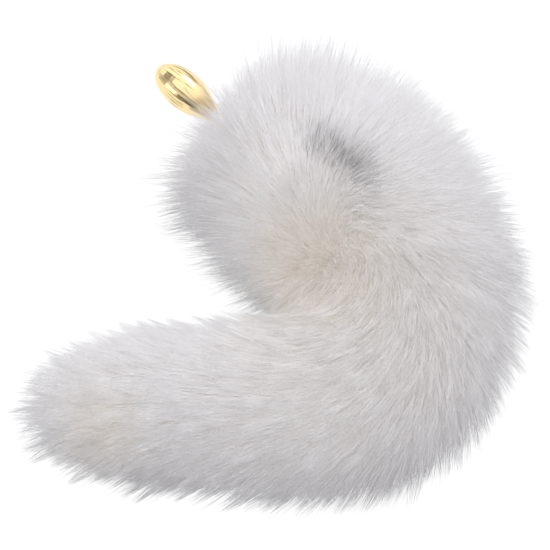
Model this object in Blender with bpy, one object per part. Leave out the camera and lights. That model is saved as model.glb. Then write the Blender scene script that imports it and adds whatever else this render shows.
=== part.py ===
"""White fox tail on a polished gold plug, lying curled on a flat surface.

Run it with: blender --background --python part.py
Units are metres and +Z is up. The origin is on the surface, under the middle of the object.
"""

import math

import bmesh
import bpy
import numpy as np
from mathutils import Vector

# Plug: one polished casting, turned about its own axis
BULB_DIAMETER = 0.028
NOSE_LENGTH = 0.025  # tip to the widest ring
TAPER_LENGTH = 0.034  # widest ring to the neck
NECK_DIAMETER = 0.009
NECK_LENGTH = 0.008
FLANGE_DIAMETER = 0.027
FLANGE_THICKNESS = 0.0035
FLANGE_EDGE_RADIUS = 0.001
TAPER_LATENESS = 1.2  # over 1, the taper keeps its thickness longer from the bulb
TAPER_HOLLOWNESS = 1.5  # over 1, the taper curves in towards the neck
PLUG_PITCH = math.radians(12)  # the plug's tip points this far above level
PITCH_FADE_SHARE = 0.11  # of TAIL_LENGTH, over which the tail's sections turn upright

# Stud: a plain hidden pin from the plug into the tail
STUD_DIAMETER = 0.005
STUD_IN_PLUG = 0.007
STUD_IN_TAIL = 0.016
STUD_CHAMFER = 0.0005

# Tail: the dense fur as one solid, with its outer fur in locks
TAIL_LENGTH = 0.444  # along the curl, plug end to tip, without the last locks
TAIL_WIDTH = 0.132
TAIL_HEIGHT = 0.100
FUR_LENGTH = 0.040  # the longest locks, at the plug end
CLEARANCE = 0.0003  # between touching pieces
FUR_CLEARANCE = 0.003  # between a lock and the plug

# How the tail lies, from the plug end to the tip. share: of TAIL_LENGTH. heading: degrees
# from +X. inner, outer: half-widths on the curl's inside and outside, in halves of
# TAIL_WIDTH. centre, rise: height of the section's middle, and from there to its top, as
# shares of TAIL_HEIGHT. fur: lock length as a share of FUR_LENGTH.
SECTION_COLUMNS = ("share", "heading", "inner", "outer", "centre", "rise", "fur")
SECTIONS = (
    (0.00, -40, 0.28, 0.30, 0.50, 0.19, 0.75),
    (0.04, -40, 0.64, 0.68, 0.50, 0.42, 0.95),
    (0.12, -41, 0.90, 0.98, 0.49, 0.52, 1.00),
    (0.24, -49, 1.02, 1.00, 0.48, 0.55, 0.98),
    (0.35, -71, 0.99, 0.98, 0.47, 0.54, 0.90),
    (0.45, -103, 0.92, 0.98, 0.44, 0.51, 0.86),
    (0.54, -138, 0.84, 0.96, 0.41, 0.47, 0.84),
    (0.63, -167, 0.76, 0.84, 0.38, 0.43, 0.80),
    (0.74, -181, 0.68, 0.70, 0.34, 0.40, 0.76),
    (0.85, -183, 0.58, 0.60, 0.29, 0.34, 0.74),
    (0.94, -184, 0.44, 0.44, 0.24, 0.25, 0.74),
    (1.00, -186, 0.20, 0.20, 0.18, 0.13, 0.80),
)

# How the fur is combed: away from one point inside the bend, then along the tail
SWIRL_SHARE = 0.35  # of TAIL_LENGTH, where that point lies beside the tail's middle line
SWIRL_INSET = 0.85  # in halves of TAIL_WIDTH, towards the curl's inside
COMB_TURN_START = 0.26  # share of TAIL_LENGTH where the fur starts to turn along the tail
COMB_TURN_END = 0.62
COMB_AWAY_KEPT = 0.2  # pull away from that point, after the turn
COMB_ALONG = 1.4  # pull along the tail, after the turn
LOCK_LEAN = (0.55, 1.30)  # combed part of a lock's direction, root half and tip half
LOCK_TAPER = (0.80, 0.22)  # each half's end as a share of its start
LOCK_VARIATION = 0.22  # how much longer or shorter a lock may be
LOCK_SEED = 7

RINGS = 28  # along the tail
RING_POINTS = 16
TURN_SEGMENTS = 32  # around the plug and the stud
TAPER_STEPS = 14
NOSE_STEPS = 12

GOLD = (0.86, 0.66, 0.33, 1.0)
STEEL = (0.62, 0.62, 0.60, 1.0)
WHITE_FUR = (0.86, 0.84, 0.82, 1.0)


def clear_scene():
    for obj in list(bpy.data.objects):
        bpy.data.objects.remove(obj, do_unlink=True)


def plain_material(name, colour, roughness, metallic):
    material = bpy.data.materials.new(name)
    material.use_nodes = True
    shader = material.node_tree.nodes["Principled BSDF"]
    shader.inputs["Base Color"].default_value = colour
    shader.inputs["Roughness"].default_value = roughness
    shader.inputs["Metallic"].default_value = metallic
    return material


def object_from(name, bm, material, sharp_angle=40):
    """A named object from a bmesh, shaded smooth except over sharp edges."""
    mesh = bpy.data.meshes.new(name)
    bm.to_mesh(mesh)
    bm.free()
    mesh.materials.append(material)
    mesh.shade_smooth()
    mesh.set_sharp_from_angle(angle=math.radians(sharp_angle))
    obj = bpy.data.objects.new(name, mesh)
    bpy.context.scene.collection.objects.link(obj)
    return obj


def turned(name, profile, material):
    """Turns (radius, height) points about +Z. Points with no radius close the shape."""
    bm = bmesh.new()
    rings = []
    for radius, height in profile:
        if radius == 0:
            rings.append([bm.verts.new((0, 0, height))])
            continue
        angles = [2 * math.pi * k / TURN_SEGMENTS for k in range(TURN_SEGMENTS)]
        rings.append([bm.verts.new((radius * math.cos(a), radius * math.sin(a), height)) for a in angles])
    for low, high in zip(rings, rings[1:]):
        for k in range(TURN_SEGMENTS):
            corners = [low[k % len(low)], low[(k + 1) % len(low)]]
            corners += [high[(k + 1) % len(high)], high[k % len(high)]]
            bm.faces.new(list(dict.fromkeys(corners)))
    bmesh.ops.recalc_face_normals(bm, faces=bm.faces)
    return object_from(name, bm, material)


def plug_profile():
    """From the blind stud hole, round the flange, along the neck and taper to the tip."""
    bore = STUD_DIAMETER / 2 + CLEARANCE
    bore_depth = STUD_IN_PLUG + CLEARANCE
    flange, edge = FLANGE_DIAMETER / 2, FLANGE_EDGE_RADIUS
    profile = [(0, bore_depth), (bore, bore_depth), (bore, 0)]
    for turn in (-90, -60, -30, 0):
        angle = math.radians(turn)
        profile.append((flange - edge + edge * math.cos(angle), edge + edge * math.sin(angle)))
    for turn in (0, 30, 60, 90):
        angle = math.radians(turn)
        top = FLANGE_THICKNESS - edge
        profile.append((flange - edge + edge * math.cos(angle), top + edge * math.sin(angle)))
    neck = NECK_DIAMETER / 2
    neck_end = FLANGE_THICKNESS + NECK_LENGTH
    profile += [(neck, FLANGE_THICKNESS), (neck, neck_end)]
    bulb = BULB_DIAMETER / 2
    for k in range(1, TAPER_STEPS + 1):
        left = 1 - k / TAPER_STEPS
        swell = math.cos(math.pi / 2 * left**TAPER_LATENESS) ** TAPER_HOLLOWNESS
        profile.append((neck + (bulb - neck) * swell, neck_end + TAPER_LENGTH * (1 - left)))
    for k in range(1, NOSE_STEPS):
        angle = math.pi / 2 * k / NOSE_STEPS
        height = neck_end + TAPER_LENGTH + NOSE_LENGTH * math.sin(angle)
        profile.append((bulb * math.cos(angle), height))
    profile.append((0, neck_end + TAPER_LENGTH + NOSE_LENGTH))
    return profile


def stud_profile():
    radius = STUD_DIAMETER / 2
    low, high = -STUD_IN_TAIL, STUD_IN_PLUG
    inner = radius - STUD_CHAMFER
    return [
        (0, low),
        (inner, low),
        (radius, low + STUD_CHAMFER),
        (radius, high - STUD_CHAMFER),
        (inner, high),
        (0, high),
    ]


def section_values(shares):
    """The section table's columns at these shares, through smooth cubic curves."""
    table = np.array(SECTIONS, float)
    known = table[:, 0]
    slopes = np.gradient(table, known, axis=0)
    left = np.clip(np.searchsorted(known, shares, side="right") - 1, 0, len(known) - 2)
    span = (known[left + 1] - known[left])[:, None]
    t = ((shares - known[left])[:, None]) / span
    values = (
        (2 * t**3 - 3 * t**2 + 1) * table[left]
        + (t**3 - 2 * t**2 + t) * span * slopes[left]
        + (3 * t**2 - 2 * t**3) * table[left + 1]
        + (t**3 - t**2) * span * slopes[left + 1]
    )
    return dict(zip(SECTION_COLUMNS, values.T))


def spine():
    """The middle line: ring centres, travel directions, side directions and section sizes.
    It starts at the plug's seat, over (0, 0), and follows the headings for TAIL_LENGTH."""
    shares = np.linspace(0, 1, RINGS)
    lie = section_values(shares)
    heading = np.radians(lie["heading"])
    travel = np.stack([np.cos(heading), np.sin(heading), 0 * heading], axis=1)
    side = np.stack([-np.sin(heading), np.cos(heading), 0 * heading], axis=1)
    steps = (travel[1:] + travel[:-1]) / 2 * TAIL_LENGTH / (RINGS - 1)
    centres = np.concatenate([np.zeros((1, 3)), np.cumsum(steps, axis=0)])
    centres[:, 2] = lie["centre"] * TAIL_HEIGHT
    return {"shares": shares, "centres": centres, "travel": travel, "side": side, "lie": lie}


def ring_circle():
    """A ring's points on a unit circle: how far each is to the side, and how high."""
    angles = 2 * math.pi * (np.arange(RING_POINTS) + 0.5) / RING_POINTS
    return np.cos(angles), np.sin(angles)


def tail_rings(line):
    """Rings of points round the middle line. A section is a half ellipse to each side, laid
    flat where it meets the surface. The first ones are square to the plug's axis."""
    rings = []
    up = np.array([0.0, 0.0, 1.0])
    for k in range(RINGS):
        tilt = PLUG_PITCH * max(0.0, 1 - line["shares"][k] / PITCH_FADE_SHARE)
        rise = line["travel"][k] * math.sin(tilt) + up * math.cos(tilt)
        across, high = ring_circle()
        half = np.where(across > 0, line["lie"]["outer"][k], line["lie"]["inner"][k]) * TAIL_WIDTH / 2
        points = (
            line["centres"][k]
            + np.outer(half * across, line["side"][k])
            + np.outer(line["lie"]["rise"][k] * TAIL_HEIGHT * high, rise)
        )
        points[:, 2] = np.maximum(points[:, 2], 0.0)
        rings.append(points)
    return rings


def socket_rings(line, plug_axis):
    """The stud's socket in the tail's end: its bottom ring and its mouth ring."""
    radius = STUD_DIAMETER / 2 + CLEARANCE
    side = line["side"][0]
    rise = np.cross(plug_axis, side)
    rise *= math.copysign(1.0, rise[2])
    across, high = ring_circle()
    ring = radius * (np.outer(across, side) + np.outer(high, rise))
    mouth = line["centres"][0] + ring
    return [mouth - plug_axis * (STUD_IN_TAIL + CLEARANCE), mouth]


def comb_direction(place, normal, share, travel, swirl_centre):
    """The way the fur is combed at a place: away from the swirl's centre at the plug end,
    turning to run along the tail, and always along the surface."""
    away = Vector((place.x - swirl_centre[0], place.y - swirl_centre[1], 0)).normalized()
    turn = (share - COMB_TURN_START) / (COMB_TURN_END - COMB_TURN_START)
    turn = min(1.0, max(0.0, turn))
    turn = turn * turn * (3 - 2 * turn)
    comb = away * (1 - (1 - COMB_AWAY_KEPT) * turn) + Vector(travel) * COMB_ALONG * turn
    comb -= normal * comb.dot(normal)
    return comb.normalized() if comb.length > 1e-6 else comb


def keep_off_plug(place, seat, plug_axis):
    """Moves a point that is ahead of the seat out to the plug's widest radius and a gap."""
    offset = place - seat
    along = offset.dot(plug_axis)
    least = max(BULB_DIAMETER, FLANGE_DIAMETER) / 2 + FUR_CLEARANCE
    away = offset - plug_axis * along
    if along < -FUR_CLEARANCE or away.length >= least:
        return place
    return seat + plug_axis * along + away.normalized() * least


def grow_locks(bm, faces, line, plug_axis):
    """Extrudes each face twice into a tapering lock that leans the way the fur is combed."""
    near = int(np.argmin(abs(line["shares"] - SWIRL_SHARE)))
    swirl_centre = line["centres"][near] - line["side"][near] * SWIRL_INSET * TAIL_WIDTH / 2
    seat = Vector(line["centres"][0])
    row_of = bm.faces.layers.int["row"]
    column_of = bm.faces.layers.int["column"]
    random = np.random.default_rng(LOCK_SEED)
    variation = 1 + LOCK_VARIATION * random.uniform(-1, 1, (RINGS, RING_POINTS))
    ring_gap = TAIL_LENGTH / (RINGS - 1)
    rooms = {}
    for face in faces:
        a, b, c, d = (v.co for v in face.verts)
        rooms[face[row_of], face[column_of]] = min(1.0, (((a + b) - (c + d)) / 2).length / ring_gap)
    for lean, taper in zip(LOCK_LEAN, LOCK_TAPER):
        bm.normal_update()
        faces = bmesh.ops.extrude_discrete_faces(bm, faces=faces)["faces"]
        bm.normal_update()
        for face in faces:
            row, column = face[row_of], face[column_of]
            middle = face.calc_center_median()
            share = line["shares"][row]
            comb = comb_direction(middle, face.normal, share, line["travel"][row], swirl_centre)
            way = (face.normal + comb * lean).normalized()
            way.z = max(way.z, 0.0)
            fur = line["lie"]["fur"][row] * FUR_LENGTH * variation[row, column]
            reach = way * fur * rooms[row, column] / len(LOCK_LEAN)
            for vert in face.verts:
                moved = middle + reach + (vert.co - middle) * taper
                vert.co = keep_off_plug(moved, seat, plug_axis)


def make_tail(material):
    """The dense fur as a closed skin through the rings, then the locks."""
    line = spine()
    heading = line["travel"][0]
    up = np.array([0.0, 0.0, 1.0])
    plug_axis = -heading * math.cos(PLUG_PITCH) + up * math.sin(PLUG_PITCH)
    bm = bmesh.new()
    row_of = bm.faces.layers.int.new("row")
    column_of = bm.faces.layers.int.new("column")
    rings = [[bm.verts.new(p) for p in ring] for ring in socket_rings(line, plug_axis) + tail_rings(line)]
    bm.faces.new(rings[0])
    bm.faces.new(rings[-1])
    furry = []
    for row, (ring, following) in enumerate(zip(rings, rings[1:]), start=-2):
        for column in range(RING_POINTS):
            after = (column + 1) % RING_POINTS
            corners = [ring[column], ring[after], following[after], following[column]]
            face = bm.faces.new(corners)
            face[row_of], face[column_of] = max(row, 0), column
            on_floor = not any(v.co.z for v in corners)
            if row >= 0 and not on_floor:
                furry.append(face)
    bmesh.ops.recalc_face_normals(bm, faces=bm.faces)
    grow_locks(bm, furry, line, Vector(plug_axis))
    tail = object_from("fur_tail", bm, material, sharp_angle=60)
    return tail, Vector(line["centres"][0]), Vector(plug_axis)


def place_on_axis(obj, seat, axis, offset):
    """Stands a turned piece on the seat, its +Z along the plug's axis."""
    obj.rotation_mode = "QUATERNION"
    obj.rotation_quaternion = axis.to_track_quat("Z", "Y")
    obj.location = seat + axis * offset


def centre_on_origin(objects):
    """Parents the pieces to one empty, set so that the whole stands over the origin."""
    bpy.context.view_layer.update()
    corners = np.array([obj.matrix_world @ v.co for obj in objects for v in obj.data.vertices])
    low, high = corners.min(axis=0), corners.max(axis=0)
    laid = bpy.data.objects.new("laid_tail", None)
    bpy.context.scene.collection.objects.link(laid)
    for obj in objects:
        obj.parent = laid
    laid.location = (-(low[0] + high[0]) / 2, -(low[1] + high[1]) / 2, -low[2])


def main():
    clear_scene()
    gold = plain_material("gold", GOLD, 0.12, 1.0)
    steel = plain_material("steel", STEEL, 0.35, 1.0)
    fur = plain_material("white_fur", WHITE_FUR, 0.85, 0.0)
    tail, seat, axis = make_tail(fur)
    plug = turned("plug", plug_profile(), gold)
    stud = turned("stud", stud_profile(), steel)
    place_on_axis(plug, seat, axis, CLEARANCE)
    place_on_axis(stud, seat, axis, 0.0)
    centre_on_origin([tail, plug, stud])


main()
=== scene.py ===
# %% [markdown]
# # A white fox tail on a gold plug
#
# This scene dresses a imported CAD part. The part is a soft tail, a turned metal plug and a small
# hidden stud, all standing in one shared frame: metres, +Z up, with the origin on the floor.

# %% Load the frame
import math

import bpy
import numpy as np
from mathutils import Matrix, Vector


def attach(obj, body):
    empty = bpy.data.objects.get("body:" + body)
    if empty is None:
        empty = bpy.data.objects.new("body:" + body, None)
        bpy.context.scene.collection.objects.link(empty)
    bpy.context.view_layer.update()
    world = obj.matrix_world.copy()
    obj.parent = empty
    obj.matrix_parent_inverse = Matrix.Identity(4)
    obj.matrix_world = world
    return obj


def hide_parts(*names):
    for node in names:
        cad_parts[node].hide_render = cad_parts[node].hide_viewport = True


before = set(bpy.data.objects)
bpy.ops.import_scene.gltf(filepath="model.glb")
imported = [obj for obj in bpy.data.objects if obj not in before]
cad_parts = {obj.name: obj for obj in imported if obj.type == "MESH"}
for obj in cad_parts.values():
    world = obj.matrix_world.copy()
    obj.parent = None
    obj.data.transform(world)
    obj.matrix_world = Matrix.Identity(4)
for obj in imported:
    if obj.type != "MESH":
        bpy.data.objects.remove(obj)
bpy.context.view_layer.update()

# %% [markdown]
# The tail is seen from the front and well above, through a long lens that keeps the far arm of
# the curl nearly as large as the near one. The camera is set by where it looks, how high it
# stands and how far off it is, because those are what a photographer chooses.

# %% Camera
VIEW_ELEVATION = math.radians(60)
VIEW_DISTANCE = 1.05
VIEW_TARGET = Vector((0.0032, -0.0059, 0.045))
LENS_MM = 100
SENSOR_MM = 36

camera_data = bpy.data.cameras.new("camera")
camera_data.lens = LENS_MM
camera_data.sensor_width = SENSOR_MM
camera = bpy.data.objects.new("camera", camera_data)
bpy.context.scene.collection.objects.link(camera)
towards_camera = Vector((0, -math.cos(VIEW_ELEVATION), math.sin(VIEW_ELEVATION)))
camera.location = VIEW_TARGET + towards_camera * VIEW_DISTANCE
camera.rotation_mode = "QUATERNION"
camera.rotation_quaternion = (-towards_camera).to_track_quat("-Z", "Y")
bpy.context.scene.camera = camera
print("Camera at", [round(x, 3) for x in camera.location])

# %% [markdown]
# The plug says where the tail starts. It is a turned piece, so its own vertices give everything:
# the middle of its back face is the seat, its axis runs from there to the tip of the bulb, and
# the farthest vertex from the axis at each distance along it is its radius there. The fur needs
# that radius later, because no hair may grow through the metal.

# %% Read the plug's seat, axis and profile
PROFILE_STEP = 0.0005


def vertex_places(obj):
    """All vertex positions of a mesh as an array of rows x, y, z."""
    places = np.empty(3 * len(obj.data.vertices), np.float32)
    obj.data.vertices.foreach_get("co", places)
    return places.reshape(-1, 3).astype(float)


plug_points = vertex_places(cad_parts["plug"])
PLUG_HEADING = math.radians(140)
PLUG_PITCH = math.radians(12)
plug_axis = np.array(
    [
        math.cos(PLUG_HEADING) * math.cos(PLUG_PITCH),
        math.sin(PLUG_HEADING) * math.cos(PLUG_PITCH),
        math.sin(PLUG_PITCH),
    ]
)
plug_along = plug_points @ plug_axis
back_ring = plug_points[plug_along < plug_along.min() + PROFILE_STEP]
seat = (back_ring.min(axis=0) + back_ring.max(axis=0)) / 2
plug_along = (plug_points - seat) @ plug_axis
plug_reach = np.linalg.norm(plug_points - seat - np.outer(plug_along, plug_axis), axis=1)
profile_bins = np.round(plug_along / PROFILE_STEP).astype(int).clip(0)
profile_radius = np.zeros(profile_bins.max() + 1)
np.maximum.at(profile_radius, profile_bins, plug_reach)
ring_here = np.flatnonzero(profile_radius)
plug_length = plug_along.max()
print("Plug seat, mm:", np.round(1000 * seat, 1), "length, mm:", round(1000 * plug_length, 1))


def plug_radius(along):
    """The plug's radius at distances along its axis, read between its rings."""
    return np.interp(along, ring_here * PROFILE_STEP, profile_radius[ring_here], right=0.0)


# %% [markdown]
# The tail itself is a thick bolster of fur laid in a C. On the real thing a narrow strip of hide
# carries hair that stands out all round it, and the floor flattens its underside. Here its dense
# middle is one smooth surface with two parameters: how far along the tail, and how far round.
# A short table says how each section lies, in the same named sizes as the CAD, so the
# two agree wherever either is measured.

# %% The tail's sizes and sections
TAIL_LENGTH = 0.444
TAIL_WIDTH = 0.132
TAIL_HEIGHT = 0.100
FUR_LENGTH = 0.040

# share: of the length, from the plug. heading: degrees from +X. inner, outer: half-widths in
# halves of the width. centre, rise: shares of the height. fur: share of the fur's length.
SECTION_COLUMNS = ("share", "heading", "inner", "outer", "centre", "rise", "fur")
SECTIONS = (
    (0.00, -40, 0.28, 0.30, 0.50, 0.19, 0.75),
    (0.04, -40, 0.64, 0.68, 0.50, 0.42, 0.95),
    (0.12, -41, 0.90, 0.98, 0.49, 0.52, 1.00),
    (0.24, -49, 1.02, 1.00, 0.48, 0.55, 0.98),
    (0.35, -71, 0.99, 0.98, 0.47, 0.54, 0.90),
    (0.45, -103, 0.92, 0.98, 0.44, 0.51, 0.86),
    (0.54, -138, 0.84, 0.96, 0.41, 0.47, 0.84),
    (0.63, -167, 0.76, 0.84, 0.38, 0.43, 0.80),
    (0.74, -181, 0.68, 0.70, 0.34, 0.40, 0.76),
    (0.85, -183, 0.58, 0.60, 0.29, 0.34, 0.74),
    (0.94, -184, 0.44, 0.44, 0.24, 0.25, 0.74),
    (1.00, -186, 0.20, 0.20, 0.18, 0.13, 0.80),
)


def section_values(shares):
    """Every column of the table at these shares, through cubic curves: at each row the curve
    has that row's value and the slope between its neighbours."""
    table = np.array(SECTIONS, float)
    known = table[:, 0]
    slopes = np.gradient(table, known, axis=0)
    left = np.clip(np.searchsorted(known, shares, side="right") - 1, 0, len(known) - 2)
    span = (known[left + 1] - known[left])[:, None]
    t = (shares - known[left])[:, None] / span
    values = (
        (2 * t**3 - 3 * t**2 + 1) * table[left]
        + (t**3 - 2 * t**2 + t) * span * slopes[left]
        + (3 * t**2 - 2 * t**3) * table[left + 1]
        + (t**3 - t**2) * span * slopes[left + 1]
    )
    return dict(zip(SECTION_COLUMNS, values.T))


print("Sections:", len(SECTIONS), "thickest, mm:", round(1000 * TAIL_WIDTH * 1.01, 1))

# %% [markdown]
# The surface is worked out once, on a fine grid, and every later step reads places, outward
# directions and comb directions off that grid. The comb matters most in the finished picture.
# On this tail the hair bursts outwards from one point inside the bend, and further along it
# swings round until it lies along the tail. Both pulls are simple fields, and a smooth step
# along the tail hands over from the first to the second.

# %% The dense surface and the way its hair is combed
GRID_ALONG = 420
GRID_ROUND = 160
END_ROUNDING = 0.02  # share of the length over which each end closes
SWIRL_SHARE = 0.35
SWIRL_INSET = 0.85
SWIRL_RADIUS = 0.055  # within it the hair only bursts outwards
COMB_TURN_START = 0.06
COMB_TURN_END = 0.56
COMB_AWAY_KEPT = 0.2
COMB_ALONG = 1.4
PART_SHARE = 0.10  # over this share the hair is parted round the plug
TIP_TURN = 0.20  # how far the hair of the tip swings to the front


def unit(vectors):
    """Vectors scaled to length one along their last axis."""
    return vectors / np.maximum(np.linalg.norm(vectors, axis=-1, keepdims=True), 1e-9)


def smooth_step(t):
    """0 below 0, 1 above 1, and an even S-curve in between."""
    t = np.clip(t, 0.0, 1.0)
    return t * t * (3 - 2 * t)


grid_shares = np.linspace(0, 1, GRID_ALONG)
lie = section_values(grid_shares)
heading = np.radians(lie["heading"])
level = np.zeros(GRID_ALONG)
line_travel = np.stack([np.cos(heading), np.sin(heading), level], axis=1)
line_side = np.stack([-np.sin(heading), np.cos(heading), level], axis=1)
line_steps = (line_travel[1:] + line_travel[:-1]) / 2 * TAIL_LENGTH / (GRID_ALONG - 1)
line_centre = np.concatenate([np.zeros((1, 3)), np.cumsum(line_steps, axis=0)])
line_centre[:, :2] += seat[:2]
line_centre[:, 2] = lie["centre"] * TAIL_HEIGHT

round_angles = 2 * math.pi * np.arange(GRID_ROUND) / GRID_ROUND
across = np.cos(round_angles)[None, :]
upward = np.sin(round_angles)[None, :]
from_end = np.minimum(grid_shares, 1 - grid_shares) / END_ROUNDING
closing = np.sqrt(1 - (1 - np.clip(from_end, 0.0, 1.0)) ** 2)[:, None]
half_width = np.where(across > 0, lie["outer"][:, None], lie["inner"][:, None]) * TAIL_WIDTH / 2
half_height = lie["rise"][:, None] * TAIL_HEIGHT
surface = (
    line_centre[:, None, :]
    + (half_width * across * closing)[:, :, None] * line_side[:, None, :]
    + (half_height * upward * closing)[:, :, None] * np.array([0.0, 0.0, 1.0])
)
surface[:, :, 2] = np.maximum(surface[:, :, 2], 0.0)

along_step = np.gradient(surface, axis=0)
round_step = np.roll(surface, -1, axis=1) - np.roll(surface, 1, axis=1)
outward = unit(np.cross(along_step, round_step))
middle = line_centre[:, None, :]
facing_in = ((surface - middle) * outward).sum(axis=2, keepdims=True) < 0
outward = np.where(facing_in, -outward, outward)
outward[0] = -line_travel[0]
outward[-1] = line_travel[-1]

swirl_row = int(round(SWIRL_SHARE * (GRID_ALONG - 1)))
swirl = line_centre[swirl_row] - line_side[swirl_row] * SWIRL_INSET * TAIL_WIDTH / 2
away = surface - swirl
away[:, :, 2] = 0.0
turned = smooth_step((grid_shares - COMB_TURN_START) / (COMB_TURN_END - COMB_TURN_START))
from_swirl = np.linalg.norm(away, axis=2, keepdims=True)
turned = turned[:, None, None] * smooth_step(from_swirl / SWIRL_RADIUS)
comb = unit(away) * (1 - (1 - COMB_AWAY_KEPT) * turned)
comb = comb + line_travel[:, None, :] * COMB_ALONG * turned
from_plug = surface - seat
from_plug = from_plug - (from_plug @ plug_axis)[:, :, None] * plug_axis
near_plug = 1 - smooth_step(grid_shares / PART_SHARE)[:, None, None]
comb = comb * (1 - near_plug) + unit(from_plug) * near_plug
into_body = np.minimum((comb * outward).sum(axis=2, keepdims=True), 0)
comb = comb - outward * into_body
comb = comb / np.maximum(np.linalg.norm(comb, axis=2, keepdims=True), 1.0)
comb = comb * (0.35 + 0.65 * smooth_step(from_swirl / SWIRL_RADIUS))
at_tip = smooth_step((grid_shares - 0.7) / 0.3)[:, None, None]
comb = comb + np.array([0.0, -TIP_TURN, 0.0]) * at_tip
print("Surface grid:", surface.shape, "swirl at, mm:", np.round(1000 * swirl, 1))

# %% [markdown]
# A hair root is a pair of numbers, share along the tail and turn round it. Reading the grid
# between its points gives the root's place and directions as whole arrays, thousands at a time.


# %% Read the grid between its points
def read_grid(grid, share, turn):
    """Values of a grid at places between its points: the mean of the four nearest, each
    weighted by how near it is. Turns wrap round, shares stop at the ends."""
    row = np.clip(share, 0, 1) * (GRID_ALONG - 1)
    column = (turn % 1.0) * GRID_ROUND
    r0 = np.minimum(row.astype(int), GRID_ALONG - 2)
    c0 = column.astype(int) % GRID_ROUND
    c1 = (c0 + 1) % GRID_ROUND
    fr = (row - r0)[..., None]
    fc = (column - np.floor(column))[..., None]
    low = grid[r0, c0] * (1 - fc) + grid[r0, c1] * fc
    high = grid[r0 + 1, c0] * (1 - fc) + grid[r0 + 1, c1] * fc
    return low * (1 - fr) + high * fr


patch_area = np.linalg.norm(np.cross(along_step, round_step), axis=2)
along_size = np.maximum(np.linalg.norm(along_step, axis=2, keepdims=True), 2e-4)
round_size = np.maximum(np.linalg.norm(round_step, axis=2, keepdims=True), 2e-4)
along_unit = unit(along_step) / (along_size * (GRID_ALONG - 1))
round_unit = unit(round_step) / (round_size / 2 * GRID_ROUND)
print("Dense surface, cm2:", round(1e4 * patch_area.sum() / 2))

# %% [markdown]
# Mesh helpers come next. A finished piece is a mesh whose object sits at the origin, rides on
# the CAD body and takes one material. A strand is a thin spike with
# three sides, closed at its root and running to one point at its tip. It needs so few faces
# that tens of thousands of them stay light, and it is a real closed solid.

# %% Mesh helpers
STRAND_MAP = "OFBake"
STRAND_SIDES = 3


def add_piece(name, mesh, material):
    """Puts a mesh in the scene as one piece of the object, shaded smooth."""
    mesh.materials.append(material)
    mesh.shade_smooth()
    piece = bpy.data.objects.new(name, mesh)
    bpy.context.scene.collection.objects.link(piece)
    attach(piece, "root")
    return piece


def mesh_of_arrays(name, points, corners, face_sizes):
    """A mesh from arrays: points, then the corner indices of all faces in one row, and how
    many corners each face takes."""
    mesh = bpy.data.meshes.new(name)
    mesh.vertices.add(len(points))
    mesh.vertices.foreach_set("co", np.ascontiguousarray(points, np.float32).ravel())
    mesh.loops.add(len(corners))
    mesh.loops.foreach_set("vertex_index", corners.astype(np.int32))
    mesh.polygons.add(len(face_sizes))
    starts = np.concatenate([[0], np.cumsum(face_sizes)[:-1]])
    mesh.polygons.foreach_set("loop_start", starts.astype(np.int32))
    mesh.update(calc_edges=True)
    return mesh


def strand_mesh(name, paths, radius, tone):
    """Closed spikes along paths. paths: strands x stations x 3. At each station but the last,
    three points stand round the path at the strand's radius, which falls along it; the last
    station is the tip. The map's u is the strand's tone and its v runs from root to tip."""
    count, stations, _ = paths.shape
    rings = stations - 1
    v = np.linspace(0, 1, stations)
    travel = unit(np.gradient(paths, axis=1))
    reference = np.where(np.abs(travel[..., 2:]) > 0.9, [1.0, 0.0, 0.0], [0.0, 0.0, 1.0])
    first = unit(np.cross(travel, reference))
    second = np.cross(travel, first)
    taper = radius[:, None] * (1 - 0.55 * v[None, :])
    ring_points = []
    for k in range(STRAND_SIDES):
        angle = 2 * math.pi * k / STRAND_SIDES
        offset = first * math.cos(angle) + second * math.sin(angle)
        ring_points.append(paths + offset * taper[..., None])
    around = np.stack(ring_points, axis=2)[:, :rings].reshape(count, rings * STRAND_SIDES, 3)
    points = np.concatenate([around, paths[:, -1:]], axis=1).reshape(-1, 3)

    each = rings * STRAND_SIDES + 1
    faces = [[2, 1, 0]]
    for ring in range(rings - 1):
        for k in range(STRAND_SIDES):
            a = ring * STRAND_SIDES + k
            b = ring * STRAND_SIDES + (k + 1) % STRAND_SIDES
            faces.append([a, b, b + STRAND_SIDES, a + STRAND_SIDES])
    last = (rings - 1) * STRAND_SIDES
    for k in range(STRAND_SIDES):
        faces.append([last + k, last + (k + 1) % STRAND_SIDES, each - 1])
    pattern = np.concatenate([np.array(face) for face in faces])
    sizes = np.array([len(face) for face in faces])
    corners = (pattern[None, :] + each * np.arange(count)[:, None]).ravel()
    mesh = mesh_of_arrays(name, points, corners, np.tile(sizes, count))

    station_of_point = np.append(np.repeat(np.arange(rings), STRAND_SIDES), rings)
    v_corner = np.tile(v[station_of_point[pattern]], count)
    u_corner = np.repeat(tone, len(pattern))
    layer = mesh.uv_layers.new(name=STRAND_MAP)
    layer.uv.foreach_set("vector", np.stack([u_corner, v_corner], axis=1).astype(np.float32).ravel())
    return mesh


def triangles_in(mesh):
    """How many triangles the mesh's faces make."""
    sizes = np.empty(len(mesh.polygons), np.int32)
    mesh.polygons.foreach_get("loop_total", sizes)
    return int((sizes - 2).sum())
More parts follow.
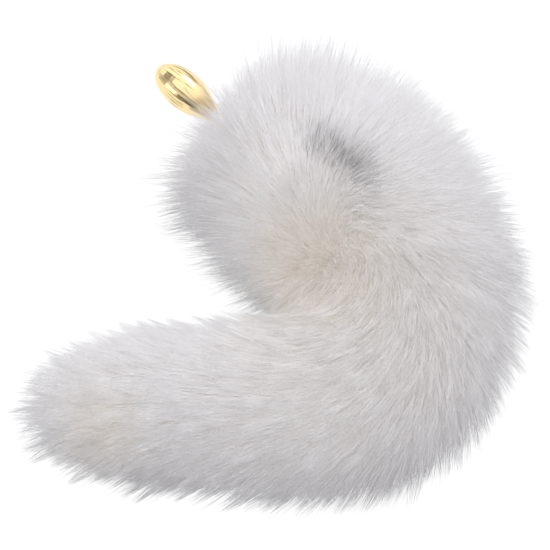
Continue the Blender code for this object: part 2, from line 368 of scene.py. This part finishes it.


# %% [markdown]
# White fur is never flat white. Each hair is clear and colourless, so light passes from hair to
# hair and the coat glows; deeper down it turns faintly cream. Three things give that here: a base
# colour that warms towards the root, tones that differ a little from strand to strand, and a
# faint painted glow, an emission that lifts the shade between hairs and stands in for the light
# that thousands of real hairs would pass on. The colours are read from the strands' own map, so
# the pattern belongs to the hair and can't slide.

# %% Fur material
TIP_COLOUR = (0.985, 0.982, 0.987, 1.0)
MID_COLOUR = (0.987, 0.983, 0.983, 1.0)
ROOT_COLOUR = (0.985, 0.968, 0.945, 1.0)
WARM_TONE = (1.0, 0.965, 0.92, 1.0)
PLAIN_TONE = (1.0, 0.996, 0.992, 1.0)
COOL_TONE = (0.993, 0.988, 1.0, 1.0)
MID_PLACE = 0.45  # share of the hair's length
GUARD_PAINTED_SHADE = 0.88  # painted shade: the guard hairs are made a little darker than the coat under them
# Painted glow: a faint emission on the fur and the undercoat that lifts their shade.
PAINTED_GLOW_COLOUR = (1.0, 0.985, 0.985, 1.0)
PAINTED_GLOW = 0.07


def new_material(name):
    """An empty node material with its shader, node tree and link function."""
    material = bpy.data.materials.new(name)
    material.use_nodes = True
    tree = material.node_tree
    return material, tree.nodes["Principled BSDF"], tree


def colour_ramp(tree, stops):
    """A colour ramp with these (position, colour) stops."""
    ramp = tree.nodes.new("ShaderNodeValToRGB")
    elements = ramp.color_ramp.elements
    elements[0].position, elements[0].color = stops[0]
    elements[1].position, elements[1].color = stops[-1]
    for position, colour in stops[1:-1]:
        elements.new(position).color = colour
    return ramp


def multiply(tree, first, second):
    """The product of two colours."""
    node = tree.nodes.new("ShaderNodeMix")
    node.data_type = "RGBA"
    node.blend_type = "MULTIPLY"
    node.inputs["Factor"].default_value = 1.0
    tree.links.new(first, node.inputs["A"])
    tree.links.new(second, node.inputs["B"])
    return node.outputs["Result"]


def add_painted_glow(shader):
    """A painted glow: a faint emission of the fur's own that lifts its shade, standing in for the
    light that real hair passes on.
    """
    shader.inputs["Emission Color"].default_value = PAINTED_GLOW_COLOUR
    shader.inputs["Emission Strength"].default_value = PAINTED_GLOW


def fur_material(name="white_fur_strands", strength=1.0):
    """Hair colour from root to tip, times the strand's own tone, times a strength; below one, as for
    the guard hairs, it is a painted shade.
    """
    material, shader, tree = new_material(name)
    uv = tree.nodes.new("ShaderNodeUVMap")
    uv.uv_map = STRAND_MAP
    split = tree.nodes.new("ShaderNodeSeparateXYZ")
    tree.links.new(uv.outputs["UV"], split.inputs["Vector"])
    stops = [
        (place, tuple(c * strength for c in colour[:3]) + (1.0,))
        for place, colour in [(0.0, ROOT_COLOUR), (MID_PLACE, MID_COLOUR), (1.0, TIP_COLOUR)]
    ]
    along = colour_ramp(tree, stops)
    tone = colour_ramp(tree, [(0.0, WARM_TONE), (0.5, PLAIN_TONE), (1.0, COOL_TONE)])
    tree.links.new(split.outputs["Y"], along.inputs["Fac"])
    tree.links.new(split.outputs["X"], tone.inputs["Fac"])
    tree.links.new(
        multiply(tree, along.outputs["Color"], tone.outputs["Color"]), shader.inputs["Base Color"]
    )
    shader.inputs["Roughness"].default_value = 0.55
    add_painted_glow(shader)
    shader.inputs["Specular IOR Level"].default_value = 0.35
    return material


fur = fur_material()
# The guard hairs' colour is scaled down: a painted shade at the tail's soft edge.
guard_fur = fur_material("white_fur_guard_hairs", GUARD_PAINTED_SHADE)
print("Materials so far:", [m.name for m in bpy.data.materials])

# %% [markdown]
# Under the long hair lies the undercoat, a felt so dense that no hide shows. It is one closed
# skin a little below the dense surface. It is mostly covered, so a fine bump is enough here,
# and it takes the same white with the cream of the depths, and the same painted glow.

# %% Undercoat
UNDERCOAT_DEPTH = 0.0045
UNDERCOAT_ROWS = 140
UNDERCOAT_COLUMNS = 72
FLOOR_GAP = 0.0004


def undercoat_mesh():
    """The dense surface moved inwards by a depth, as a closed tube: rows along the tail,
    columns round it, and a fan to one point at each end."""
    share = np.repeat(np.linspace(0.012, 0.988, UNDERCOAT_ROWS), UNDERCOAT_COLUMNS)
    turn = np.tile(np.arange(UNDERCOAT_COLUMNS) / UNDERCOAT_COLUMNS, UNDERCOAT_ROWS)
    place = read_grid(surface, share, turn)
    normal = unit(read_grid(outward, share, turn))
    points = place - normal * UNDERCOAT_DEPTH
    points[:, 2] = np.maximum(points[:, 2], FLOOR_GAP)
    rows = points.reshape(UNDERCOAT_ROWS, UNDERCOAT_COLUMNS, 3)
    ends = np.stack([rows[0].mean(axis=0), rows[-1].mean(axis=0)])
    r = np.arange(UNDERCOAT_ROWS - 1)[:, None]
    c = np.arange(UNDERCOAT_COLUMNS)[None, :]
    after = (c + 1) % UNDERCOAT_COLUMNS
    quads = np.stack(
        [
            r * UNDERCOAT_COLUMNS + c,
            r * UNDERCOAT_COLUMNS + after,
            (r + 1) * UNDERCOAT_COLUMNS + after,
            (r + 1) * UNDERCOAT_COLUMNS + c,
        ],
        axis=-1,
    ).reshape(-1, 4)
    first_end = len(points)
    last_row = (UNDERCOAT_ROWS - 1) * UNDERCOAT_COLUMNS
    c, after = c.ravel(), after.ravel()
    near = np.stack([after, c, np.full_like(c, first_end)], axis=1)
    far = np.stack([last_row + c, last_row + after, np.full_like(c, first_end + 1)], axis=1)
    corners = np.concatenate([quads.ravel(), near.ravel(), far.ravel()])
    sizes = np.concatenate([np.full(len(quads), 4), np.full(2 * len(c), 3)])
    return mesh_of_arrays("undercoat", np.concatenate([points, ends]), corners, sizes)


def undercoat_material():
    """Cream white with soft blotches, a fine felt bump and the fur's painted glow."""
    material, shader, tree = new_material("white_fur_undercoat")
    place = tree.nodes.new("ShaderNodeTexCoord")
    blotch = tree.nodes.new("ShaderNodeTexNoise")
    blotch.inputs["Scale"].default_value = 45.0
    tree.links.new(place.outputs["Object"], blotch.inputs["Vector"])
    ramp = colour_ramp(tree, [(0.35, (0.975, 0.955, 0.92, 1)), (0.7, (0.985, 0.975, 0.965, 1))])
    tree.links.new(blotch.outputs["Fac"], ramp.inputs["Fac"])
    tree.links.new(ramp.outputs["Color"], shader.inputs["Base Color"])
    felt = tree.nodes.new("ShaderNodeTexNoise")
    felt.inputs["Scale"].default_value = 1400.0
    tree.links.new(place.outputs["Object"], felt.inputs["Vector"])
    bump = tree.nodes.new("ShaderNodeBump")
    bump.inputs["Strength"].default_value = 0.6
    bump.inputs["Distance"].default_value = 0.001
    tree.links.new(felt.outputs["Fac"], bump.inputs["Height"])
    tree.links.new(bump.outputs["Normal"], shader.inputs["Normal"])
    shader.inputs["Roughness"].default_value = 0.9
    add_painted_glow(shader)
    return material


undercoat = add_piece("undercoat", undercoat_mesh(), undercoat_material())
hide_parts("fur_tail")
print("Undercoat triangles:", triangles_in(undercoat.data))

# %% [markdown]
# Now the coat. Hair on a fox tail grows in locks: neighbours lean together and their tips meet.
# So roots are drawn in clumps. Each clump has a leader, and each of its hairs is pulled towards
# the leader's path, weakly at the root and strongly at the tip. The whole coat is one set of
# arrays, clumps x hairs x stations. Roots picked by chance alone would leave bald spots and
# crowds, so their places come from a sequence that fills the surface evenly.

# %% Where the hairs root
RANDOM = np.random.default_rng(20)


def even_pairs(count):
    """Pairs of numbers from 0 to 1 that fill the square evenly: each number steps by its own
    irrational share and wraps round."""
    steps = np.arange(count)[:, None] * np.array([0.7548776662, 0.5698402910])
    return (steps + RANDOM.random(2)) % 1.0


def clump_roots(count, first_share, last_share, under_share):
    """Root places, as share and turn, spread evenly over the surface between two shares.
    Patches that face the floor get only a part of that density."""
    weight = patch_area * np.where(outward[:, :, 2] < -0.5, under_share, 1.0)
    inside = (grid_shares >= first_share) & (grid_shares <= last_share)
    weight = weight * inside[:, None] + 1e-12
    pair = even_pairs(count)
    row_total = weight.sum(axis=1)
    row_edge = np.cumsum(row_total)
    row = np.searchsorted(row_edge, pair[:, 0] * row_edge[-1]).clip(0, GRID_ALONG - 1)
    total = np.cumsum(weight.ravel())
    target = row_edge[row] - row_total[row] * pair[:, 1]
    column = np.searchsorted(total, target).clip(0, len(total) - 1) - row * GRID_ROUND
    share = (row + RANDOM.random(count)) / (GRID_ALONG - 1)
    turn = (column + RANDOM.random(count)) / GRID_ROUND
    return np.clip(share, 0, 1), turn % 1.0


# %% [markdown]
# A hair leaves the body nearly straight out and bends over the way it is combed. Its path is
# added up from short steps, and at each step the comb has more say than before. Then it gets a
# little of its own will: a sideways drift, and for the long thin hairs a slight wave.

# %% The path of a hair
def lean_at(share, turn):
    """How far hair is combed over at a root, first at its foot and then at its tip: little at
    the plug end, more along the tail."""
    along = smooth_step((share - 0.3) / 0.35)
    return 0.45 + 0.45 * along, 1.10 + 1.25 * along


def hair_paths(share, turn, length, lean, stations, wander, wave):
    """Paths of hairs as arrays hairs x stations x 3. lean scales how far they are combed over,
    wander is the drift of the tip in metres and wave the height of its waves in metres."""
    place = read_grid(surface, share, turn)
    normal = unit(read_grid(outward, share, turn))
    combed = read_grid(comb, share, turn)
    sideways = unit(np.cross(normal, combed + [0.01, 0.02, 0.03]))
    foot, tip = lean_at(share, turn)
    t = np.linspace(0, 1, stations)
    point = place - normal * ROOT_DEPTH
    points = [point]
    for k in range(stations - 1):
        pull = (foot + (tip - foot) * t[k]) * lean
        step = unit(normal + combed * pull[:, None]) * (length / (stations - 1))[:, None]
        points.append(points[-1] + step)
        share = share + (step * read_grid(along_unit, share, turn)).sum(axis=1)
        turn = turn + (step * read_grid(round_unit, share, turn)).sum(axis=1)
        combed = read_grid(comb, share, turn)
    path = np.stack(points, axis=1)
    chance = RANDOM.normal(0, 1, (len(share), 2))
    turns = RANDOM.uniform(0.6, 1.5, (len(share), 1))
    start = RANDOM.uniform(0, 2 * math.pi, (len(share), 1))
    swing = np.sin(start + 2 * math.pi * turns * t) - np.sin(start)
    drift = chance[:, :1] * wander * t**1.5 + wave * swing * t
    lift = chance[:, 1:] * 0.5 * wander * t**1.5
    return path + sideways[:, None, :] * drift[..., None] + normal[:, None, :] * lift[..., None]


# %% [markdown]
# Two things stand in the hair's way. The floor presses it flat, and the plug has to stay bare:
# the hair is stroked back round the neck, so that it stands off beside the metal instead of
# hanging over it. The longest hairs also sink a little at the top and the sides. All of these
# are moves of the finished paths, point by point.

# %% Keep the floor and the plug clear
ROOT_DEPTH = 0.006
PLUG_GAP = 0.0006
FLOOR_HAIR_GAP = 0.0003
UP_AND_FRONT = np.array([0.0, -0.5, 0.866])
STROKE_LIMIT = 0.006  # beyond this distance from the seat the hair above the plug is held back
STROKE_KEPT = 0.12
STROKE_REACH = 0.045
STROKE_FADE = 0.03
SOFT_CEILING = 0.122  # above this the longest hairs sink under their own weight by half
SOFT_SIDES = np.array([0.181, 0.185])  # beyond these, in x and y, they keep a third


def stroke_back(path):
    """Holds hair above the plug back: of its reach along the plug's axis beyond a limit, only a
    small part is kept, above the axis and near it, and all of it below or far from it."""
    offset = path - seat
    along = offset @ plug_axis
    from_axis = offset - along[..., None] * plug_axis
    reach = np.linalg.norm(from_axis, axis=-1)
    above = smooth_step((unit(from_axis) @ UP_AND_FRONT + 0.25) / 0.5)
    near = 1 - smooth_step((reach - STROKE_REACH) / STROKE_FADE)
    beyond = np.maximum(along - STROKE_LIMIT, 0)
    return path - plug_axis * (beyond * (1 - STROKE_KEPT) * above * near)[..., None]


def keep_clear(path, thickness):
    """Moves points that would lie in the floor up onto it, and points that would lie in the
    plug straight out from its axis to its skin."""
    path = stroke_back(path)
    path[..., 2] -= np.maximum(path[..., 2] - SOFT_CEILING, 0) / 2
    past = np.maximum(np.abs(path[..., :2]) - SOFT_SIDES, 0)
    path[..., :2] -= np.sign(path[..., :2]) * past * 2 / 3
    path[..., 2] = np.maximum(path[..., 2], FLOOR_HAIR_GAP + thickness)
    offset = path - seat
    along = offset @ plug_axis
    from_axis = offset - along[..., None] * plug_axis
    reach = np.linalg.norm(from_axis, axis=-1)
    needed = plug_radius(np.clip(along, 0, None)) + PLUG_GAP + thickness
    needed = np.where((along > -PLUG_GAP) & (along < plug_length + PLUG_GAP), needed, 0.0)
    push = np.maximum(needed / np.maximum(reach, 1e-6), 1.0)
    return seat + along[..., None] * plug_axis + from_axis * push[..., None]


# %% [markdown]
# With those, one function grows any layer of the coat, and a table holds the layers. The dense
# coat is laid in stretches, because the hair changes along the tail: at the plug end it is fine
# and stands out evenly, round the bend it starts to draw into locks, and on the front arm the
# locks are clear and end in points. Over it stand the guard hairs, longer, thinner and more
# upright, which make the soft edge that the tail has against the light.

# %% The coat, layer by layer
COAT_COLUMNS = (
    "name",
    "clumps",
    "hairs",  # in each clump
    "first",
    "last",
    "spread",  # radius of a clump at the roots, metres
    "gather",  # how far the tips close in on the leader
    "length",  # times the fur length
    "wander",
    "wave",
    "lean",
    "thick",
    "stations",
)
COAT = (
    ("under_hair_plug_side", 2100, 5, 0.00, 0.42, 0.005, 0.10, 0.75, 0.004, 0.0, 1.20, 0.00050, 3),
    ("under_hair_tip_side", 2100, 5, 0.38, 1.00, 0.005, 0.15, 0.80, 0.004, 0.0, 1.20, 0.00050, 3),
    ("coat_plug_end", 1000, 6, 0.00, 0.20, 0.005, 0.20, 1.10, 0.003, 0.0, 1.10, 0.00042, 4),
    ("coat_upper_arm", 1700, 6, 0.18, 0.38, 0.005, 0.20, 1.20, 0.003, 0.0, 1.10, 0.00042, 4),
    ("coat_bend", 1150, 6, 0.36, 0.56, 0.005, 0.25, 1.27, 0.003, 0.0, 1.15, 0.00042, 4),
    ("coat_front_arm", 950, 6, 0.54, 0.78, 0.005, 0.30, 1.15, 0.0026, 0.0, 1.10, 0.00042, 4),
    ("coat_tip", 750, 6, 0.76, 1.00, 0.005, 0.35, 1.15, 0.0026, 0.0, 1.00, 0.00042, 4),
    ("edge_locks", 150, 20, 0.42, 0.84, 0.007, 0.75, 1.30, 0.003, 0.0, 1.00, 0.00040, 4),
    ("tip_locks", 60, 30, 0.80, 1.00, 0.009, 0.80, 1.28, 0.003, 0.0, 0.80, 0.00040, 4),
    ("guard_hair_plug_side", 1700, 3, 0.00, 0.42, 0.002, 0.20, 1.50, 0.004, 0.0016, 0.85, 0.00028, 4),
    ("guard_hair_tip_side", 1200, 3, 0.42, 1.00, 0.002, 0.30, 1.25, 0.003, 0.0010, 0.90, 0.00028, 4),
)
SHORT_INSIDE = 0.30  # how much shorter the hair is inside the bend
SHORT_AT_PLUG = 0.45  # how long the hair is at the plug, against its full length
# Spots that make the tone warmer and a little darker: the fur's cream, and also painted warm shade in
# the crease inside the bend and on the upper front of the tip.
CREAM_AND_SHADE_SPOTS = (
    # share, turn, radius in metres, strength
    (0.34, 0.42, 0.040, 0.70),
    (0.42, 0.28, 0.060, 0.35),
    (0.62, 0.25, 0.060, 0.25),
    (0.90, 0.13, 0.030, 0.75),
)


def off_axis(share, turn):
    """How far roots lie from the plug's axis, in metres."""
    offset = read_grid(surface, share, turn) - seat
    return np.linalg.norm(offset - (offset @ plug_axis)[..., None] * plug_axis, axis=-1)


def cream_and_shade(share, turn):
    """How far a root's tone is drawn to the warm tone, from 0 to about 0.8: a sum of soft round
    spots, partly the fur's cream and partly painted warm shade.
    """
    place = read_grid(surface, share, turn)
    amount = np.zeros(share.shape)
    for spot_share, spot_turn, radius, strength in CREAM_AND_SHADE_SPOTS:
        spot = read_grid(surface, np.array([spot_share]), np.array([spot_turn]))
        distance = np.linalg.norm(place - spot, axis=-1)
        amount = amount + strength * np.exp(-((distance / radius) ** 2))
    return amount


def coat(row):
    """The paths and tones of one layer. Roots of a clump lie round its leader's; each hair is
    then drawn towards the leader's path by the gather, more at the tip than at the root."""
    clumps, hairs, stations = row["clumps"], row["hairs"], row["stations"]
    share, turn = clump_roots(clumps, row["first"], row["last"], 0.25)
    past_plug = smooth_step((off_axis(share, turn) - 0.012) / 0.03)
    shorter = SHORT_AT_PLUG + (1 - SHORT_AT_PLUG) * past_plug
    inside = np.exp(-(((turn - 0.5) / 0.16) ** 2) - ((share - 0.30) / 0.16) ** 2)
    shorter = shorter * (1 - SHORT_INSIDE * inside)
    fur_here = np.interp(share, grid_shares, lie["fur"]) * FUR_LENGTH * shorter
    clump_length = fur_here * row["length"] * RANDOM.uniform(0.8, 1.2, clumps)
    shape = (row["lean"], stations, row["wander"], row["wave"])
    leader = hair_paths(share, turn, clump_length, *shape)

    section = np.interp(share, grid_shares, (lie["inner"] + lie["outer"] + 2 * lie["rise"]) / 4)
    girth = 2 * math.pi * np.maximum(section, 0.2) * TAIL_WIDTH / 2
    radius = row["spread"] * np.sqrt(RANDOM.random((clumps, hairs)))
    angle = RANDOM.uniform(0, 2 * math.pi, (clumps, hairs))
    hair_share = np.clip(share[:, None] + radius * np.cos(angle) / TAIL_LENGTH, 0, 1).ravel()
    hair_turn = ((turn[:, None] + radius * np.sin(angle) / girth[:, None]) % 1.0).ravel()
    hair_length = (clump_length[:, None] * RANDOM.uniform(0.72, 1.12, (clumps, hairs))).ravel()
    path = hair_paths(hair_share, hair_turn, hair_length, *shape)
    path = path.reshape(clumps, hairs, stations, 3)
    closing_in = row["gather"] * np.linspace(0, 1, stations) ** 1.3
    path = path + (leader[:, None] - path) * closing_in[None, None, :, None]
    tone = 0.10 * RANDOM.normal(0, 1, (clumps, 1)) + 0.10 * RANDOM.normal(0, 1, (clumps, hairs))
    # Where the spots lie the tone is warmer and a little darker: cream, and in part painted warm
    # shade.
    tone = tone.ravel() + 0.82 - cream_and_shade(hair_share, hair_turn)
    return path.reshape(-1, stations, 3), np.clip(tone, 0.02, 0.98)


def add_hair(name, path, tone, thickness):
    """Turns paths into one piece of closed strands, clear of the floor and the plug."""
    radius = thickness / 2 * RANDOM.uniform(0.75, 1.25, len(path))
    path = keep_clear(path, thickness)
    material = guard_fur if name.startswith("guard") else fur
    piece = add_piece(name, strand_mesh(name, path, radius, tone), material)
    print(name, "strands:", len(path), "triangles:", triangles_in(piece.data))
    return piece


for values in COAT:
    row = dict(zip(COAT_COLUMNS, values))
    path, tone = coat(row)
    add_hair(row["name"], path, tone, row["thick"])

# %% [markdown]
# The plug is one casting, turned, gold-plated and polished to a mirror. What one sees on it is
# mostly the room and the fur below. The CAD solid already has the right form, so it stays and
# only gets its finish. A very slight unevenness of the polish keeps the reflections from looking
# like glass, and fine dark streaks are painted into the gold's colour along the middle of the
# bulb: a painted reflection of hair.

# %% Gold plug and hidden stud
GOLD_COLOUR = (0.92, 0.72, 0.38, 1.0)
STEEL_COLOUR = (0.60, 0.60, 0.58, 1.0)
# The streaks below are a painted reflection of hair in the gold.
REFLECTION_STREAK_SCALE = 6.5
REFLECTION_STREAK_RUN = 6.0  # how fast the streaks change along the plug, per metre
REFLECTION_STREAK_KEPT = 0.45  # how bright the darkest streak is, against plain gold
# shares of the plug's length from its back, and how strong the streaks are there
REFLECTION_STREAK_PLACE = [
    (0.48, (0, 0, 0, 1)),
    (0.58, (1, 1, 1, 1)),
    (0.84, (1, 1, 1, 1)),
    (0.93, (0, 0, 0, 1)),
]


def polished_metal(name, colour, roughness, unevenness):
    """A metal with this colour, whose roughness and surface waver very slightly."""
    material, shader, tree = new_material(name)
    place = tree.nodes.new("ShaderNodeTexCoord")
    noise = tree.nodes.new("ShaderNodeTexNoise")
    noise.inputs["Scale"].default_value = 260.0
    tree.links.new(place.outputs["Object"], noise.inputs["Vector"])
    wear = tree.nodes.new("ShaderNodeMapRange")
    wear.inputs["To Min"].default_value = roughness * 0.7
    wear.inputs["To Max"].default_value = roughness * 1.4
    tree.links.new(noise.outputs["Fac"], wear.inputs["Value"])
    tree.links.new(wear.outputs["Result"], shader.inputs["Roughness"])
    bump = tree.nodes.new("ShaderNodeBump")
    bump.inputs["Strength"].default_value = unevenness
    bump.inputs["Distance"].default_value = 0.0005
    tree.links.new(noise.outputs["Fac"], bump.inputs["Height"])
    tree.links.new(bump.outputs["Normal"], shader.inputs["Normal"])
    shader.inputs["Base Color"].default_value = colour
    shader.inputs["Metallic"].default_value = 1.0
    return material


def vector_math(tree, operation, first, second=None):
    """One vector operation. The second value is a link or a plain vector."""
    node = tree.nodes.new("ShaderNodeVectorMath")
    node.operation = operation
    tree.links.new(first, node.inputs[0])
    if isinstance(second, tuple):
        node.inputs[1].default_value = second
    elif second is not None:
        tree.links.new(second, node.inputs[1])
    return node.outputs["Value" if operation == "DOT_PRODUCT" else "Vector"]


def add_painted_reflection_streaks(material):
    """Dark streaks painted into the gold's colour along the bulb, a painted reflection of hair. A
    noise is read at the unit vector from the plug's axis, so it hardly changes along the plug and
    changes quickly round it. Soft limits along the axis keep it to the middle of the bulb."""
    tree = material.node_tree
    shader = tree.nodes["Principled BSDF"]
    place = tree.nodes.new("ShaderNodeTexCoord").outputs["Object"]
    offset = vector_math(tree, "SUBTRACT", place, tuple(seat))
    along = vector_math(tree, "DOT_PRODUCT", offset, tuple(plug_axis))
    on_axis = vector_math(tree, "MULTIPLY", along, tuple(plug_axis))
    outwards = vector_math(tree, "NORMALIZE", vector_math(tree, "SUBTRACT", offset, on_axis))
    stretched = vector_math(tree, "MULTIPLY", on_axis, (REFLECTION_STREAK_RUN,) * 3)
    noise = tree.nodes.new("ShaderNodeTexNoise")
    noise.inputs["Scale"].default_value = REFLECTION_STREAK_SCALE
    noise.inputs["Detail"].default_value = 3.0
    tree.links.new(vector_math(tree, "ADD", outwards, stretched), noise.inputs["Vector"])
    dark = colour_ramp(tree, [(0.50, (1, 1, 1, 1)), (0.58, (REFLECTION_STREAK_KEPT,) * 3 + (1,))])
    tree.links.new(noise.outputs["Fac"], dark.inputs["Fac"])
    where = colour_ramp(tree, REFLECTION_STREAK_PLACE)
    stretch = tree.nodes.new("ShaderNodeMath")
    stretch.operation = "DIVIDE"
    stretch.inputs[1].default_value = float(plug_length)
    tree.links.new(along, stretch.inputs[0])
    tree.links.new(stretch.outputs["Value"], where.inputs["Fac"])
    mix = tree.nodes.new("ShaderNodeMix")
    mix.data_type = "RGBA"
    mix.inputs["A"].default_value = (1, 1, 1, 1)
    tree.links.new(where.outputs["Color"], mix.inputs["Factor"])
    tree.links.new(dark.outputs["Color"], mix.inputs["B"])
    plain = tree.nodes.new("ShaderNodeRGB")
    plain.outputs["Color"].default_value = shader.inputs["Base Color"].default_value
    streaked = multiply(tree, plain.outputs["Color"], mix.outputs["Result"])
    tree.links.new(streaked, shader.inputs["Base Color"])


def dress_node(name, material):
    """Gives a CAD node this material in all its slots."""
    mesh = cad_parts[name].data
    for k in range(max(1, len(mesh.materials))):
        if k < len(mesh.materials):
            mesh.materials[k] = material
        else:
            mesh.materials.append(material)


gold = polished_metal("polished_gold", GOLD_COLOUR, 0.10, 0.05)
add_painted_reflection_streaks(gold)
dress_node("plug", gold)
dress_node("stud", polished_metal("plain_steel", STEEL_COLOUR, 0.35, 0.2))
print("Dressed nodes:", sorted(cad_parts))

# %% [markdown]
# The studio is a white floor and a white room that is brightest high up behind the tail, so the
# near lower edges fall into soft shade. A photographer lights such a floor by itself until it is
# plain white. The floor here glows for the same reason, and its glow is linked to the floor and
# the plug, so the tail's underside keeps its shade. Polished metal shows its lamps, so three
# panels stand round the plug for it alone, as a photographer would set cards for it.

# %% Floor, world and lights
FLOOR_SIZE = 8.0
FLOOR_GLOW = 0.88
BRIGHT_FROM = (-0.10, 0.42, 0.90)
DARK_SIDE = 0.02
BRIGHT_SIDE = 1.42
ROOM_COSINES = (-0.4, 0.9)  # of the angle to the bright side, where the room stops changing
TINT_COSINES = (-0.5, 0.9)
DARK_TINT = (0.95, 0.94, 1.0, 1.0)
BRIGHT_TINT = (0.985, 0.98, 1.0, 1.0)
DARK_PATCH = (-0.60, 0.22, 0.77)
PATCH_COSINES = (0.93, 0.99)
PATCH_KEPT = 0.25  # how bright the middle of the dark patch is, against the room round it
FLOOR_COLOUR = (0.25, 0.25, 0.255, 1.0)
PANEL_DISTANCE = 1.3
PANELS = (
    # name, azimuth and elevation in degrees, width and height in metres, brightness
    ("softbox_back", 62, 48, 0.55, 0.34, 2.6),
    ("softbox_left", 200, 22, 0.55, 0.70, 1.3),
    ("small_lamp", 158, 48, 0.10, 0.10, 9.0),
)
BOUNCES = 14  # white hair passes light on many times


def add_floor():
    """A large flat sheet just at the height that the object rests on."""
    half = FLOOR_SIZE / 2
    points = np.array([[-half, -half, 0], [half, -half, 0], [half, half, 0], [-half, half, 0]])
    mesh = mesh_of_arrays("floor", points, np.arange(4), np.array([4]))
    material, shader, tree = new_material("floor_white")
    shader.inputs["Base Color"].default_value = FLOOR_COLOUR
    shader.inputs["Roughness"].default_value = 0.9
    shader.inputs["Specular IOR Level"].default_value = 0.0
    shader.inputs["Emission Color"].default_value = (1, 1, 1, 1)
    shader.inputs["Emission Strength"].default_value = FLOOR_GLOW
    mesh.materials.append(material)
    floor = bpy.data.objects.new("floor", mesh)
    bpy.context.scene.collection.objects.link(floor)
    return floor


def reach_only(source, targets):
    """Links the light of a lamp or a glowing object to its targets, which alone receive it."""
    reached = bpy.data.collections.new(source.name + "_reaches")
    for target in targets:
        reached.objects.link(target)
    source.light_linking.receiver_collection = reached


def add_panel(name, azimuth, elevation, width, height, brightness):
    """A rectangular light that stands in a direction from the object and faces it. Its watts
    are its brightness times its area times pi, so a larger one isn't a dimmer one."""
    azimuth, elevation = math.radians(azimuth), math.radians(elevation)
    flat = math.cos(elevation)
    direction = Vector((math.cos(azimuth) * flat, math.sin(azimuth) * flat, math.sin(elevation)))
    data = bpy.data.lights.new(name, "AREA")
    data.shape = "RECTANGLE"
    data.size = width
    data.size_y = height
    data.energy = brightness * math.pi * width * height
    light = bpy.data.objects.new(name, data)
    light.location = VIEW_TARGET + direction * PANEL_DISTANCE
    light.rotation_mode = "QUATERNION"
    light.rotation_quaternion = (-direction).to_track_quat("-Z", "Y")
    light.visible_camera = False
    bpy.context.scene.collection.objects.link(light)
    reach_only(light, [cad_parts["plug"]])


def towards(tree, place, direction, cosines, values):
    """A number that goes smoothly from the first value to the second as the cosine of the
    angle to a direction goes from the first cosine to the second."""
    cosine = tree.nodes.new("ShaderNodeVectorMath")
    cosine.operation = "DOT_PRODUCT"
    cosine.inputs[1].default_value = direction
    tree.links.new(place, cosine.inputs[0])
    strength = tree.nodes.new("ShaderNodeMapRange")
    strength.interpolation_type = "SMOOTHSTEP"
    strength.inputs["From Min"].default_value = cosines[0]
    strength.inputs["From Max"].default_value = cosines[1]
    strength.inputs["To Min"].default_value = values[0]
    strength.inputs["To Max"].default_value = values[1]
    tree.links.new(cosine.outputs["Value"], strength.inputs["Value"])
    return strength.outputs["Result"]


def set_world():
    """A white surround, brightest in one direction and with one small dark patch, which is
    what the polished metal shows near its tip."""
    world = bpy.data.worlds.new("studio")
    bpy.context.scene.world = world
    world.use_nodes = True
    tree = world.node_tree
    background = tree.nodes["Background"]
    place = tree.nodes.new("ShaderNodeTexCoord").outputs["Generated"]
    room = towards(tree, place, BRIGHT_FROM, ROOM_COSINES, (DARK_SIDE, BRIGHT_SIDE))
    patch = towards(tree, place, DARK_PATCH, PATCH_COSINES, (1.0, PATCH_KEPT))
    both = tree.nodes.new("ShaderNodeMath")
    both.operation = "MULTIPLY"
    tree.links.new(room, both.inputs[0])
    tree.links.new(patch, both.inputs[1])
    tree.links.new(both.outputs["Value"], background.inputs["Strength"])
    tint = colour_ramp(tree, [(0.0, DARK_TINT), (1.0, BRIGHT_TINT)])
    towards_bright = towards(tree, place, BRIGHT_FROM, TINT_COSINES, (0.0, 1.0))
    tree.links.new(towards_bright, tint.inputs["Fac"])
    tree.links.new(tint.outputs["Color"], background.inputs["Color"])


floor = add_floor()
reach_only(floor, [floor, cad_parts["plug"]])
set_world()
for panel in PANELS:
    add_panel(*panel)
bpy.context.scene.view_settings.view_transform = "Standard"
bpy.context.scene.cycles.diffuse_bounces = BOUNCES
bpy.context.scene.cycles.max_bounces = BOUNCES + 2
print("World strength from", DARK_SIDE, "to", BRIGHT_SIDE)
